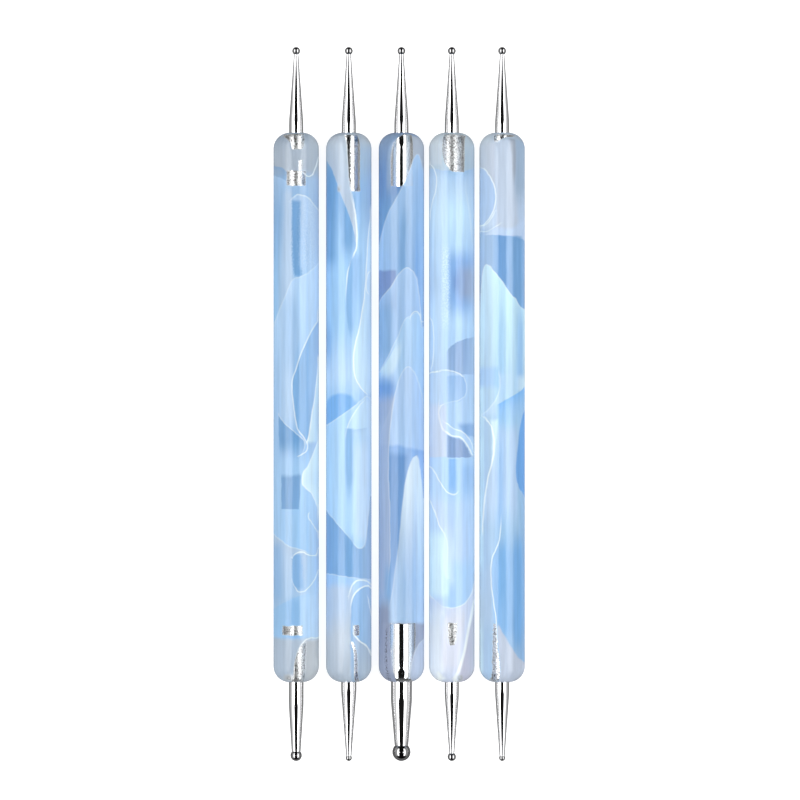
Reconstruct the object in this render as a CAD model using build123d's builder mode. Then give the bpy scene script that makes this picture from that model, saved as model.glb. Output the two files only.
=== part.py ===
from build123d import *
from collections import namedtuple
import os

# A set of five double-ended ball dotting tools, lying side by side on a flat surface.
# The rods run along Y and the upper tips point to +Y. The origin is on the surface that
# the rods lie on, under the middle of the set. Millimetres.

# Handle: a cast acrylic rod with rounded ends and a blind bore in each end.
HANDLE_DIAMETER = 8.0
HANDLE_LENGTH = 96.5
END_ROUNDING = 2.8

# Cured adhesive between each steel shank and its bore.
GLUE_WALL = 0.10
GLUE_FLOOR = 0.30
GLUE_RECESS = 0.20

# ball, base and neck are diameters. collar is the straight stretch outside the handle,
# reach runs from the handle's end to the end of the ball, and buried is inside the handle.
Tip = namedtuple("Tip", "ball base neck collar reach buried")

UPPER_REACH = 15.1
LOWER_REACH = 13.9


def upper_tip(buried):
    """The fine tip, the same on every tool but for the depth it is set to."""
    return Tip(ball=1.4, base=2.5, neck=0.7, collar=2.0, reach=UPPER_REACH, buried=buried)


def lower_tip(ball, base, neck, collar, buried):
    """The other tip, which differs from tool to tool."""
    return Tip(ball, base, neck, collar, LOWER_REACH, buried)


# Each tool's clear gap to the tool before it, then its two tips.
Pen = namedtuple("Pen", "gap upper lower")
PENS = [
    Pen(0.00, upper_tip(9.3), lower_tip(ball=2.0, base=2.6, neck=1.5, collar=4.0, buried=10.3)),
    Pen(1.25, upper_tip(10.4), lower_tip(ball=1.1, base=2.7, neck=0.9, collar=1.6, buried=10.0)),
    Pen(1.25, upper_tip(9.7), lower_tip(ball=3.2, base=3.7, neck=2.2, collar=3.2, buried=10.4)),
    Pen(0.85, upper_tip(10.0), lower_tip(ball=1.5, base=2.5, neck=0.8, collar=2.4, buried=10.5)),
    Pen(0.85, upper_tip(10.0), lower_tip(ball=1.1, base=2.5, neck=0.9, collar=2.0, buried=10.5)),
]

handle_radius = HANDLE_DIAMETER / 2
row_width = HANDLE_DIAMETER * len(PENS) + sum(pen.gap for pen in PENS)
handle_top = HANDLE_LENGTH / 2 + (LOWER_REACH - UPPER_REACH) / 2
handle_bottom = handle_top - HANDLE_LENGTH


def bore_radius(tip):
    return tip.base / 2 + GLUE_WALL


def bore_depth(tip):
    return tip.buried + GLUE_FLOOR


def end_plane(x, side):
    """Sketch plane at a handle's end: local X is the radius, local Y points out of the end."""
    end = handle_top if side > 0 else handle_bottom
    return Plane(origin=(x, end, handle_radius), x_dir=(side, 0, 0), z_dir=(0, 0, 1))


def pen_axis(x):
    return Axis((x, 0, handle_radius), (0, 1, 0))


def make_handle(x, pen):
    """The acrylic rod with its two blind bores."""
    with BuildPart() as handle:
        with BuildSketch(Plane(origin=(x, handle_bottom, handle_radius), z_dir=(0, 1, 0))):
            Circle(handle_radius)
        extrude(amount=HANDLE_LENGTH)
        fillet(handle.edges().filter_by(GeomType.CIRCLE), END_ROUNDING)
        for side, tip in ((1, pen.upper), (-1, pen.lower)):
            with BuildSketch(Plane(end_plane(x, side).origin, z_dir=(0, side, 0))):
                Circle(bore_radius(tip))
            extrude(amount=-bore_depth(tip), mode=Mode.SUBTRACT)
    return handle.part


def make_glue(x, side, tip):
    """The cup of cured adhesive that holds a shank in its bore."""
    outer = bore_radius(tip)
    with BuildPart() as glue:
        with BuildSketch(end_plane(x, side)):
            with BuildLine():
                Polyline(
                    (0, -bore_depth(tip)),
                    (outer, -bore_depth(tip)),
                    (outer, -GLUE_RECESS),
                    (tip.base / 2, -GLUE_RECESS),
                    (tip.base / 2, -tip.buried),
                    (0, -tip.buried),
                    close=True,
                )
            make_face()
        revolve(axis=pen_axis(x))
    return glue.part


def make_shank(x, side, tip):
    """The turned steel shank, with a cup in its neck that the ball is brazed into."""
    base = tip.base / 2
    neck = tip.neck / 2
    ball_centre = tip.reach - tip.ball / 2
    with BuildPart() as shank:
        with BuildSketch(end_plane(x, side)):
            with BuildLine():
                Polyline(
                    (0, ball_centre),
                    (0, -tip.buried),
                    (base, -tip.buried),
                    (base, tip.collar),
                    (neck, ball_centre),
                    close=True,
                )
            make_face()
        revolve(axis=pen_axis(x))
        with Locations(end_plane(x, side).from_local_coords((0, ball_centre, 0))):
            Sphere(tip.ball / 2, mode=Mode.SUBTRACT)
    return shank.part


def make_ball(x, side, tip):
    """The polished steel ball at the end of a shank."""
    ball_centre = tip.reach - tip.ball / 2
    with BuildPart(end_plane(x, side)) as ball:
        with Locations((0, ball_centre, 0)):
            Sphere(tip.ball / 2)
    return ball.part


def save(part, name):
    part.label = name
    export_step(part, f"parts/{name}.step")


os.makedirs("parts", exist_ok=True)
x = handle_radius - row_width / 2
for number, pen in enumerate(PENS, start=1):
    x += pen.gap
    save(make_handle(x, pen), f"pen_{number}_handle")
    for end_name, side, tip in (("upper", 1, pen.upper), ("lower", -1, pen.lower)):
        save(make_shank(x, side, tip), f"pen_{number}_{end_name}_shank")
        save(make_ball(x, side, tip), f"pen_{number}_{end_name}_ball")
        save(make_glue(x, side, tip), f"pen_{number}_{end_name}_glue")
    x += HANDLE_DIAMETER
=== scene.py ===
import math

import bmesh
import bpy
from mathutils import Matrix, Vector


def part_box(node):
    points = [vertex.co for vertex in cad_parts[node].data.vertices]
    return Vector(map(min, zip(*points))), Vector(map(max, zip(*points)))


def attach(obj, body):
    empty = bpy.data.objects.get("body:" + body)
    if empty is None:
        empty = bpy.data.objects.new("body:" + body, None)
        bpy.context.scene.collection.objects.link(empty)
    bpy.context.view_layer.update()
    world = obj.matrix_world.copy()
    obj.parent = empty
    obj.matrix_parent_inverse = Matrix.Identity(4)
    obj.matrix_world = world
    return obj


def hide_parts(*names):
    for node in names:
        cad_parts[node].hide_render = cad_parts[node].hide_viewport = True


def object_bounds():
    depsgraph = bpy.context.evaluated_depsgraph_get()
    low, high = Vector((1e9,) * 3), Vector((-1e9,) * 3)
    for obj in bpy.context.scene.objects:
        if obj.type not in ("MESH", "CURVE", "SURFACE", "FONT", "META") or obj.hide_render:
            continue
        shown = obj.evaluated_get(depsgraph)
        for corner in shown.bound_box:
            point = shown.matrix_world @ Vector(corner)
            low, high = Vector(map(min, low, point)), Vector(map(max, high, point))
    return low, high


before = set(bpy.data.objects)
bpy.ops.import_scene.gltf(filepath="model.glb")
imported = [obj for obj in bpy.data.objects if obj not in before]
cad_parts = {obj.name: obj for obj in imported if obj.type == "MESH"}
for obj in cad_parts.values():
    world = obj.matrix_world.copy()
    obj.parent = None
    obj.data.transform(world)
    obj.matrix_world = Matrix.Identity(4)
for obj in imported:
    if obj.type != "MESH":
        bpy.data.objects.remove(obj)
cad_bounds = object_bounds()

MM = 0.001
PENS = (1, 2, 3, 4, 5)
ENDS = {"upper": 1, "lower": -1}

ROD_SIDES = 192
ROD_STEPS = 60
SHANK_SIDES = 96
BALL_SIDES = 64
END_ROUNDING = 2.8 * MM
SHANK_BEVEL = 0.12 * MM
COLLAR_EASE = 0.6 * MM
NECK_STOP = 0.2 * MM
NECK_SHOULDER = 0.98
NECK_PINCH = 0.93
GLUE_INSET = 0.008 * MM
BORE_MATERIAL = 1


# ---------------------------------------------------------------- the CAD nodes' places

BOXES = {node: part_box(node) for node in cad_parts}


def middle(node):
    """The x and z of the line that a turned node is turned about."""
    low, high = BOXES[node]
    return (low[0] + high[0]) / 2, (low[2] + high[2]) / 2


def radius_of(node):
    """Half the width of a turned node."""
    low, high = BOXES[node]
    return (high[0] - low[0]) / 2


def span_of(node, side):
    """The y of a node's inner and outer end, where side is 1 at the upper end of a pen."""
    low, high = BOXES[node]
    return (low[1], high[1]) if side > 0 else (high[1], low[1])


def cad_rings(node):
    """The (y, radius) of each ring of points round a turned CAD node, in order of y."""
    x, z = middle(node)
    rings = {}
    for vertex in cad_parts[node].data.vertices:
        y = round(vertex.co.y, 6)
        reach = math.hypot(vertex.co.x - x, vertex.co.z - z)
        rings[y] = max(rings.get(y, 0), reach)
    return sorted(rings.items())


# ---------------------------------------------------------------- meshes

def revolve(name, outline, centre, sides, crease=40):
    """A mesh turned about a line along Y. The outline is a list of (radius, y) from end to end."""
    mesh = bpy.data.meshes.new(name)
    bm = bmesh.new()
    turns = [2 * math.pi * k / sides for k in range(sides)]
    rings = []
    for radius, y in outline:
        points = turns if radius > 0 else [0]
        rings.append([
            bm.verts.new((centre[0] + radius * math.sin(t), y, centre[1] + radius * math.cos(t)))
            for t in points
        ])
    for one, two in zip(rings, rings[1:]):
        for k in range(sides):
            after = (k + 1) % sides
            corners = [one[k % len(one)], one[after % len(one)], two[after % len(two)], two[k % len(two)]]
            bm.faces.new(list(dict.fromkeys(corners)))
    bmesh.ops.recalc_face_normals(bm, faces=bm.faces)
    bm.to_mesh(mesh)
    bm.free()
    mesh.shade_smooth()
    mesh.set_sharp_from_angle(angle=math.radians(crease))
    piece = bpy.data.objects.new(name, mesh)
    bpy.context.scene.collection.objects.link(piece)
    return piece


def arc(centre, radius, start, end, steps):
    """Points (radius, y) on an arc, with angles in degrees from the radial direction."""
    points = []
    for k in range(steps + 1):
        angle = math.radians(start + (end - start) * k / steps)
        points.append((centre[0] + radius * math.cos(angle), centre[1] + radius * math.sin(angle)))
    return points


def stand_in(piece, node, body):
    """The piece is shown in place of a CAD node, and moves with that node's body."""
    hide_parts(node)
    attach(piece, body)


def rod_end(pen, side):
    """The y of a handle's end as it would be with no bore through its rounding."""
    handle = f"pen_{pen}_handle"
    flat = radius_of(handle) - END_ROUNDING
    glue = f"pen_{pen}_upper_glue" if side > 0 else f"pen_{pen}_lower_glue"
    beyond = max(0, radius_of(glue) - flat)
    missing = END_ROUNDING - math.sqrt(END_ROUNDING ** 2 - beyond ** 2)
    return span_of(handle, side)[1] + side * missing


def make_rod(pen):
    """The acrylic rod, with its rounded ends and its two bores."""
    handle = f"pen_{pen}_handle"
    radius = radius_of(handle)
    corner = radius - END_ROUNDING
    half = {}
    for end, side in ENDS.items():
        glue = f"pen_{pen}_{end}_glue"
        bore = radius_of(glue)
        floor = span_of(glue, side)[0]
        tip = rod_end(pen, side)
        rounding = [
            (r, tip - side * (END_ROUNDING - up))
            for r, up in arc((corner, 0), END_ROUNDING, 0, 90, 16)
        ]
        rounding = [point for point in rounding if point[0] > bore + 0.01 * MM]
        half[end] = rounding + [(bore, span_of(handle, side)[1]), (bore, floor), (0, floor)]
    top = half["upper"][0][1]
    bottom = half["lower"][0][1]
    straight = [(radius, top + (bottom - top) * k / ROD_STEPS) for k in range(1, ROD_STEPS)]
    outline = half["upper"][::-1] + straight + half["lower"]
    rod = revolve(f"pen_{pen}_rod", outline, middle(handle), ROD_SIDES)
    for polygon in rod.data.polygons:
        if in_bore(polygon, middle(handle), pen):
            polygon.material_index = BORE_MATERIAL
    return rod


def in_bore(polygon, centre, pen):
    """True for a face of the wall or the floor of one of the rod's two bores."""
    at = polygon.center
    end = "upper" if at.y > 0 else "lower"
    bore = radius_of(f"pen_{pen}_{end}_glue")
    reach = math.hypot(at.x - centre[0], at.z - centre[1])
    floor = reach < bore - 0.0001 * MM
    wall = reach < bore * 1.001 and abs(polygon.normal.y) < 0.5
    return floor or wall


def make_shank(pen, end):
    """The turned shank, with its collar eased into its taper and its cup for the ball."""
    side = ENDS[end]
    node = f"pen_{pen}_{end}_shank"
    ball = f"pen_{pen}_{end}_ball"
    rings = cad_rings(node)[::side]
    neck_y, neck = rings[-1]
    rings = [ring for ring in rings if ring[1] >= neck * 0.995]
    start, base = rings[0]
    collar_y = [y for y, radius in rings if radius > base * 0.999][-1]
    length = abs(neck_y - collar_y)
    slope = (neck - base) / length
    outline = [(0, start), (base - SHANK_BEVEL, start), (base, start + side * SHANK_BEVEL)]
    outline.append((base, (start + collar_y) / 2))
    for k in range(7):
        t = COLLAR_EASE * (k - 3) / 3
        outline.append((base + slope * (t + COLLAR_EASE) ** 2 / (4 * COLLAR_EASE), collar_y + side * t))
    for k in range(1, 9):
        t = COLLAR_EASE + (length - NECK_STOP - COLLAR_EASE) * k / 8
        outline.append((base + slope * t, collar_y + side * t))
    ball_y = (BOXES[ball][0][1] + BOXES[ball][1][1]) / 2
    ball_radius = radius_of(ball)
    outline.append((neck * NECK_SHOULDER, neck_y - side * NECK_STOP / 2))
    outline.append((neck * NECK_PINCH, neck_y))
    rim = math.acos(min(1, neck * NECK_PINCH / ball_radius))
    for k in range(1, 5):
        angle = rim + (math.pi / 2 - rim) * k / 5
        outline.append((ball_radius * math.cos(angle), ball_y - side * ball_radius * math.sin(angle)))
    outline.append((0, ball_y - side * ball_radius))
    return revolve(f"pen_{pen}_{end}_stem", outline, middle(node), SHANK_SIDES)


def make_ball(pen, end):
    """The ball on the end of a shank."""
    node = f"pen_{pen}_{end}_ball"
    low, high = BOXES[node]
    radius = radius_of(node)
    y = (low[1] + high[1]) / 2
    steps = 40
    outline = [(0, y - radius)]
    for k in range(1, steps):
        angle = math.pi * k / steps
        outline.append((radius * math.sin(angle), y - radius * math.cos(angle)))
    outline.append((0, y + radius))
    return revolve(f"pen_{pen}_{end}_bead", outline, middle(node), BALL_SIDES)


def make_glue(pen, end):
    """The cured adhesive round a shank, a shade inside its bore."""
    side = ENDS[end]
    node = f"pen_{pen}_{end}_glue"
    shank = radius_of(f"pen_{pen}_{end}_shank")
    floor, mouth = span_of(node, side)
    shank_end = span_of(f"pen_{pen}_{end}_shank", side)[0]
    outer = radius_of(node) - GLUE_INSET
    inner = shank + GLUE_INSET
    floor += side * GLUE_INSET
    shank_end -= side * GLUE_INSET
    steps = 30
    wall = [(outer, floor + (mouth - floor) * k / steps) for k in range(steps + 1)]
    outline = [(0, floor)] + wall + [(inner, mouth), (inner, shank_end), (0, shank_end)]
    return revolve(f"pen_{pen}_{end}_bond", outline, middle(node), SHANK_SIDES)


# ---------------------------------------------------------------- material nodes

class Nodes:
    """Short calls for the nodes of one material, or of the world if that is handed in."""

    def __init__(self, name, world=None):
        self.material = world or bpy.data.materials.new(name)
        self.material.use_nodes = True
        self.tree = self.material.node_tree
        self.tree.nodes.clear()
        self.out = self.new("ShaderNodeOutputWorld" if world else "ShaderNodeOutputMaterial")

    def new(self, kind, **settings):
        node = self.tree.nodes.new(kind)
        for key, value in settings.items():
            setattr(node, key, value)
        return node

    def plug(self, value, socket):
        if isinstance(value, bpy.types.NodeSocket):
            self.tree.links.new(value, socket)
        else:
            socket.default_value = value

    def math(self, operation, one, two=0.0, three=0.0, clamp=False):
        node = self.new("ShaderNodeMath", operation=operation, use_clamp=clamp)
        for value, socket in zip((one, two, three), node.inputs):
            self.plug(value, socket)
        return node.outputs[0]

    def ramp(self, value, low, high, to_low=0.0, to_high=1.0, smooth=True):
        node = self.new("ShaderNodeMapRange", interpolation_type="SMOOTHSTEP" if smooth else "LINEAR")
        for item, socket in zip((value, low, high, to_low, to_high), node.inputs):
            self.plug(item, socket)
        return node.outputs[0]

    def mix(self, share, one, two, kind="MIX"):
        node = self.new("ShaderNodeMix", data_type="RGBA", blend_type=kind)
        self.plug(share, node.inputs["Factor"])
        self.plug(one, node.inputs[6])
        self.plug(two, node.inputs[7])
        return node.outputs[2]

    def noise(self, vector, scale, detail=2.0, roughness=0.5):
        node = self.new("ShaderNodeTexNoise")
        self.plug(vector, node.inputs["Vector"])
        node.inputs["Scale"].default_value = scale
        node.inputs["Detail"].default_value = detail
        node.inputs["Roughness"].default_value = roughness
        return node.outputs[0]

    def curve(self, value, points):
        """A smooth curve through the given points, from one number to another."""
        firsts = [p[0] for p in points]
        seconds = [p[1] for p in points]
        low, high = min(firsts), max(firsts)
        bottom, top = min(seconds), max(seconds)
        reach = max(top - bottom, 1e-6)
        node = self.new("ShaderNodeFloatCurve")
        line = node.mapping.curves[0]
        spots = [((p[0] - low) / (high - low), (p[1] - bottom) / reach) for p in sorted(points)]
        line.points[0].location = spots[0]
        line.points[1].location = spots[-1]
        for spot in spots[1:-1]:
            line.points.new(*spot)
        node.mapping.update()
        self.plug(self.ramp(value, low, high, smooth=False), node.inputs["Value"])
        return self.math("MULTIPLY_ADD", node.outputs[0], reach, bottom)


def polished_steel(name, shade):
    """Mirror polished steel, its roughness varied slightly by a fine noise."""
    n = Nodes(name)
    coords = n.new("ShaderNodeTexCoord").outputs["Object"]
    shine = n.new("ShaderNodeBsdfPrincipled")
    shine.inputs["Base Color"].default_value = (shade, shade, shade * 1.01, 1)
    shine.inputs["Metallic"].default_value = 1.0
    shine.inputs["Specular Tint"].default_value = (0.55, 0.55, 0.57, 1)
    turned = n.noise(coords, 1600.0, detail=3.0)
    n.plug(n.ramp(turned, 0.35, 0.75, 0.03, 0.045), shine.inputs["Roughness"])
    n.plug(shine.outputs[0], n.out.inputs["Surface"])
    return n.material


def tone(red, green, blue):
    """A colour inside the acrylic, given as it looks under the studio's light from 0 to 255."""
    gloss = 0.03
    light = (0.89, 0.915, 0.948)
    seen = [(value / 255) ** 2.2 for value in (red, green, blue)]
    return tuple(max(0.02, (shown - gloss) / level) for shown, level in zip(seen, light))


DEEP = tone(112, 160, 212)
BLUE = tone(132, 178, 228)
SKY = tone(156, 200, 243)
PALE = tone(182, 216, 252)
ICE = tone(212, 239, 253)
MIST = tone(178, 203, 232)
LILAC = tone(198, 209, 236)
SMOKE = tone(160, 176, 195)
FOG = tone(188, 202, 218)
WHITE = tone(242, 253, 255)


class Marble(Nodes):
    """The swirls in one acrylic rod, painted sheet over sheet.

    Places are in millimetres from the middle of the rod: x across it and y along it, as seen from above.
    Deeper in the rod the sheets lean over, so the underside shows the same swirls shifted.
    """

    def __init__(self, pen, ground):
        super().__init__(f"acrylic_{pen}")
        node = f"pen_{pen}_handle"
        radius = radius_of(node) / MM
        x, z = middle(node)
        y = (rod_end(pen, 1) + rod_end(pen, -1)) / 2
        coords = self.new("ShaderNodeTexCoord").outputs["Object"]
        local = self.new("ShaderNodeVectorMath", operation="MULTIPLY_ADD")
        self.plug(coords, local.inputs[0])
        local.inputs[1].default_value = (1 / MM, 1 / MM, 1 / MM)
        local.inputs[2].default_value = (-x / MM, -y / MM, -z / MM)
        self.local = local.outputs[0]
        axes = self.new("ShaderNodeSeparateXYZ")
        self.plug(self.local, axes.inputs[0])
        across, along, up = axes.outputs
        chord = self.math("SUBTRACT", radius ** 2, self.math("MULTIPLY", across, across))
        surface = self.math("SQRT", self.math("MAXIMUM", chord, 0.0))
        self.depth = self.math("MAXIMUM", self.math("SUBTRACT", surface, up), 0.0)
        lean = self.math("SINE", self.math("MULTIPLY_ADD", along, 0.11, pen * 1.3))
        wave = self.noise(self.local, 0.35, detail=2.0)
        ripple = self.noise(self.local, 0.7, detail=1.0)
        self.fine = self.noise(self.local, 4.5, detail=1.0)
        self.x = self.math("MULTIPLY_ADD", self.math("MULTIPLY", lean, 0.3), self.depth, across)
        self.x = self.math("ADD", self.x, self.math("MULTIPLY_ADD", wave, 0.3, -0.15))
        self.y = self.math("MULTIPLY_ADD", self.depth, 0.8, along)
        self.y = self.math("ADD", self.y, self.math("MULTIPLY_ADD", ripple, 0.5, -0.25))
        self.colour = self.bands(ground)
        self.clear = 0.0

    def bands(self, stops):
        """The ground colour, set at places along the rod and blended between them."""
        stops = sorted(stops, key=lambda stop: stop[0])
        low, high = stops[0][0], stops[-1][0]
        node = self.new("ShaderNodeValToRGB")
        node.color_ramp.interpolation = "EASE"
        marks = node.color_ramp.elements
        marks[0].position, marks[1].position = 0.0, 1.0
        for place, _ in stops[1:-1]:
            marks.new((place - low) / (high - low))
        for mark, (_, colour) in zip(marks, stops):
            mark.color = (*colour, 1)
        self.plug(self.ramp(self.y, low, high, smooth=False), node.inputs[0])
        return node.outputs[0]

    def offset(self, line, side, along):
        """Distance in mm from a smooth line, more than 0 on the asked side. A number is a straight line."""
        run, rise = (self.y, self.x) if along else (self.x, self.y)
        if isinstance(line, (int, float)):
            return self.math("MULTIPLY", self.math("SUBTRACT", rise, line), side)
        knots = [(y, x) for x, y in line] if along else line
        step = 0.15
        here = self.curve(run, knots)
        ahead = self.curve(self.math("ADD", run, step), knots)
        slope = self.math("DIVIDE", self.math("SUBTRACT", ahead, here), step)
        length = self.math("SQRT", self.math("MULTIPLY_ADD", slope, slope, 1.0))
        gap = self.math("SUBTRACT", rise, here)
        return self.math("MULTIPLY", self.math("DIVIDE", gap, length), side)

    def roughen(self, offset, grain):
        """Breaks up the edge of a sheet by about that many mm."""
        if not grain:
            return offset
        return self.math("ADD", offset, self.math("MULTIPLY_ADD", self.fine, grain * 2, -grain))

    def between(self, value, ends, soft):
        """1 between two values and 0 outside them, with soft ends."""
        low, high = min(ends), max(ends)
        rise = self.ramp(value, low - soft, low + soft)
        return self.math("MULTIPLY", rise, self.ramp(value, high - soft, high + soft, 1.0, 0.0))

    def lay(self, mask, colour, share, hide):
        """Puts a colour over what is there, and hides that much of what is inside the rod."""
        self.colour = self.mix(self.math("MULTIPLY", mask, share), self.colour, (*colour, 1))
        hide = share if hide is None else hide
        self.clear = self.math("MULTIPLY", self.clear, self.math("MULTIPLY_ADD", mask, -hide, 1.0))

    def thread(self, offset, rim, width, limits):
        """The bright thread where a sheet folds over."""
        line = self.ramp(self.math("ABSOLUTE", offset), width * 0.1, width, rim * 0.85, 0.0)
        if limits is not None:
            line = self.math("MULTIPLY", line, limits)
        self.colour = self.mix(line, self.colour, (*WHITE, 1))
        self.clear = self.math("MULTIPLY", self.clear, self.math("SUBTRACT", 1.0, line))

    def sheet(self, line, side, colour, share, fade=None, soft=0.15, rim=0.0, width=0.2,
              along=False, ends=None, end_soft=0.8, hide=None, grain=0.0, thins=None):
        """A veil that starts at a line and fades away from it, or thins from one y to another."""
        offset = self.roughen(self.offset(line, side, along), grain)
        mask = self.ramp(offset, -soft, soft)
        if fade:
            thin = self.math("POWER", 0.5, self.math("DIVIDE", self.math("MAXIMUM", offset, 0.0), fade))
            mask = self.math("MULTIPLY", mask, thin)
        if thins:
            mask = self.math("MULTIPLY", mask, self.ramp(self.y, thins[1], thins[0], 0.2, 1.0))
        limits = None
        if ends:
            limits = self.between(self.y if along else self.x, ends, end_soft)
            mask = self.math("MULTIPLY", mask, limits)
        if share:
            self.lay(mask, colour, share, hide)
        if rim:
            self.thread(offset, rim, width, limits)

    def line(self, line, rim, width=0.18, along=False, ends=None, end_soft=0.6):
        """A bright thread with no sheet beside it."""
        self.sheet(line, 1, WHITE, 0, rim=rim, width=width, along=along, ends=ends, end_soft=end_soft)

    def leaf(self, left, right, top, bottom, colour, share, soft=(0.15, 0.15), ends=(0.3, 0.3),
             rims=(0.0, 0.0), width=0.18, hide=None, grain=0.0):
        """A veil between a left and a right line, from y = top down to y = bottom."""
        from_left = self.roughen(self.offset(left, 1, True), grain)
        from_right = self.roughen(self.offset(right, -1, True), grain)
        sides = self.math("MULTIPLY", self.ramp(from_left, -soft[0], soft[0]),
                          self.ramp(from_right, -soft[1], soft[1]))
        limits = self.math("MULTIPLY", self.ramp(self.y, top - ends[0], top + ends[0], 1.0, 0.0),
                           self.ramp(self.y, bottom - ends[1], bottom + ends[1]))
        self.lay(self.math("MULTIPLY", sides, limits), colour, share, hide)
        for offset, rim in ((from_left, rims[0]), (from_right, rims[1])):
            if rim:
                self.thread(offset, rim, width, limits)

    def open(self, left, right, top, bottom, share=1.0, soft=0.12, grain=0.0):
        """A clear window, through which the steel inside the rod shows."""
        from_left = self.roughen(self.offset(left, 1, True), grain)
        from_right = self.roughen(self.offset(right, -1, True), grain)
        sides = self.math("MULTIPLY", self.ramp(from_left, -soft, soft), self.ramp(from_right, -soft, soft))
        window = self.math("MULTIPLY", sides, self.between(self.y, (bottom, top), soft))
        shallow = self.ramp(self.depth, 0.5, 3.0, share, share * 0.35)
        self.clear = self.math("MAXIMUM", self.clear, self.math("MULTIPLY", window, shallow))

    def speckle(self, left, right, top, bottom, colour, share, soft=0.5):
        """Grains of pearl in a stretch of the rod."""
        sides = self.math("MULTIPLY", self.ramp(self.offset(left, 1, True), -soft, soft),
                          self.ramp(self.offset(right, -1, True), -soft, soft))
        area = self.math("MULTIPLY", sides, self.between(self.y, (bottom, top), 1.0))
        self.lay(self.math("MULTIPLY", area, self.ramp(self.fine, 0.45, 0.62)), colour, share, None)

    def painted_side_light(self, points):
        """Painted light and shade across the rod: more than 0 turns the acrylic paler, a painted sheen for
        the broad reflection on one side and for the pale edges, and less than 0 darker, as painted shade.
        """
        node = self.new("ShaderNodeSeparateXYZ")
        self.plug(self.local, node.inputs[0])
        level = self.curve(node.outputs[0], points)
        self.colour = self.mix(self.math("MAXIMUM", level, 0.0), self.colour, (*WHITE, 1))
        painted_shade_scale = self.new("ShaderNodeVectorMath", operation="SCALE")
        self.plug(self.colour, painted_shade_scale.inputs[0])
        self.plug(self.math("ADD", self.math("MINIMUM", level, 0.0), 1.0), painted_shade_scale.inputs["Scale"])
        self.colour = painted_shade_scale.outputs[0]

    def finish(self):
        """Joins the swirls to a polished surface, with a far softer orange peel than a hand would feel."""
        # Lengthwise streaks drawn into the colour, a few per cent up and down: partly random tone in the
        # acrylic and partly a painted sheen, standing in for the streaky reflections along the handles.
        streaks = self.new("ShaderNodeVectorMath", operation="MULTIPLY")
        self.plug(self.local, streaks.inputs[0])
        streaks.inputs[1].default_value = (1.6, 0.10, 1.6)
        drawn_out = self.noise(streaks.outputs[0], 1.0, detail=3.0)
        streak_tone_and_sheen = self.ramp(drawn_out, 0.3, 0.7, 0.93, 1.06, smooth=False)
        shade = self.new("ShaderNodeVectorMath", operation="SCALE")
        self.plug(self.colour, shade.inputs[0])
        self.plug(streak_tone_and_sheen, shade.inputs["Scale"])
        inside = self.new("ShaderNodeNewGeometry").outputs["Backfacing"]
        clear = self.math("MAXIMUM", self.clear, inside)
        body = self.mix(clear, shade.outputs[0], (0.93, 0.965, 0.985, 1))

        swell = self.math("MULTIPLY", self.noise(self.local, 0.22, detail=1.0), 40.0)
        bump = self.new("ShaderNodeBump")
        bump.inputs["Strength"].default_value = 1.0
        bump.inputs["Distance"].default_value = 0.001 * MM
        self.plug(self.math("ADD", swell, self.fine), bump.inputs["Height"])

        shine = self.new("ShaderNodeBsdfPrincipled")
        self.plug(body, shine.inputs["Base Color"])
        shine.inputs["Roughness"].default_value = 0.05
        shine.inputs["IOR"].default_value = 1.49
        self.plug(clear, shine.inputs["Transmission Weight"])
        self.plug(bump.outputs[0], shine.inputs["Normal"])
        through = self.new("ShaderNodeBsdfTranslucent")
        self.plug(body, through.inputs["Color"])
        veil = self.new("ShaderNodeMixShader")
        self.plug(self.math("MULTIPLY_ADD", clear, -0.25, 0.25), veil.inputs[0])
        self.plug(shine.outputs[0], veil.inputs[1])
        self.plug(through.outputs[0], veil.inputs[2])
        self.plug(veil.outputs[0], self.out.inputs["Surface"])
        return self.material


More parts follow.
